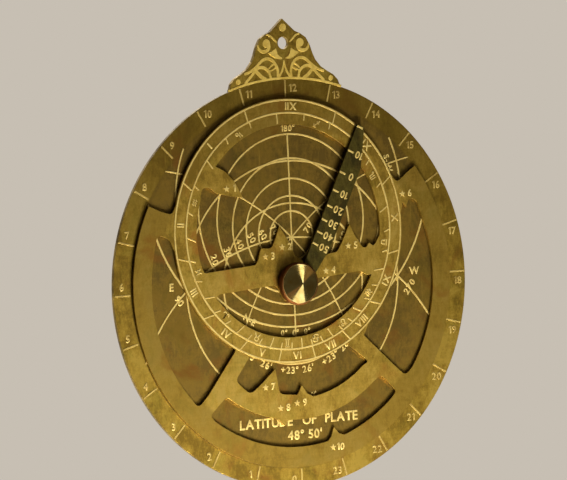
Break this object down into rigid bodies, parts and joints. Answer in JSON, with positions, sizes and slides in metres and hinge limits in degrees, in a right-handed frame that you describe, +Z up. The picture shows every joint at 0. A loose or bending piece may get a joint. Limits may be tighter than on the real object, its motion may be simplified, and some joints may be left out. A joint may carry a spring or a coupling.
{
  "type": "planispheric astrolabe",
  "caption": "Flat brass astrolabe with an engraved disc and throne, a pierced turning star map, a single-arm rule, a centre knob and a sighting bar on the back.",
  "frame": {"origin": "centre of the hanging hole in the throne, midway through the sheet", "axes": "+Z up from the disc's centre through the throne's tip, -Y out of the engraved front, +X to the right of someone facing the front"},
  "size_m": [0.16, 0.0195, 0.1835],
  "materials": {
    "plate_brass": "satin, brushed and patinated, etched ground darker than the raised lines",
    "rete_brass": "satin, brushed, lightly patinated",
    "rule_brass": "satin, darkened by handling",
    "polished_brass": "polished",
    "turned_brass": "fine turned",
    "spring_steel": "fine ground"
  },
  "bodies": {
    "plate_body": {"base_plate": "plate_brass", "centre_bush": "turned_brass", "centre_pin": "turned_brass", "alidade_washer": "turned_brass", "head_washer": "turned_brass", "knob_washer": "turned_brass"},
    "rete_body": {"rete": "rete_brass"},
    "rule_body": {"rule": "rule_brass"},
    "knob_lift_body": {"spring_washer": "spring_steel"},
    "knob_body": {"knob": "polished_brass"},
    "alidade_body": {"alidade": "rule_brass", "sight_vane_1": "plate_brass", "sight_vane_2": "plate_brass", "vane_rivet_1": "polished_brass", "vane_rivet_2": "polished_brass", "vane_rivet_3": "polished_brass", "vane_rivet_4": "polished_brass"}
  },
  "joints": [
    {"name": "rete_turn", "type": "hinge", "parent": "plate_body", "child": "rete_body", "pos_m": [0, 0, -0.094], "axis": [0, -1, 0], "continuous": true},
    {"name": "rule_turn", "type": "hinge", "parent": "plate_body", "child": "rule_body", "pos_m": [0, 0, -0.094], "axis": [0, -1, 0], "continuous": true},
    {"name": "alidade_turn", "type": "hinge", "parent": "plate_body", "child": "alidade_body", "pos_m": [0, 0, -0.094], "axis": [0, 1, 0], "continuous": true},
    {"name": "knob_rise", "type": "slide", "parent": "plate_body", "child": "knob_lift_body", "axis": [0, -1, 0], "range_m": [0, 0.0007]},
    {"name": "knob_turn", "type": "hinge", "parent": "knob_lift_body", "child": "knob_body", "pos_m": [0, 0, -0.094], "axis": [0, -1, 0], "range_deg": [0, 360]}
  ],
  "couplings": [
    {"joint": "knob_turn", "follows": "knob_rise", "rad_per_m": 8975.9}
  ]
}
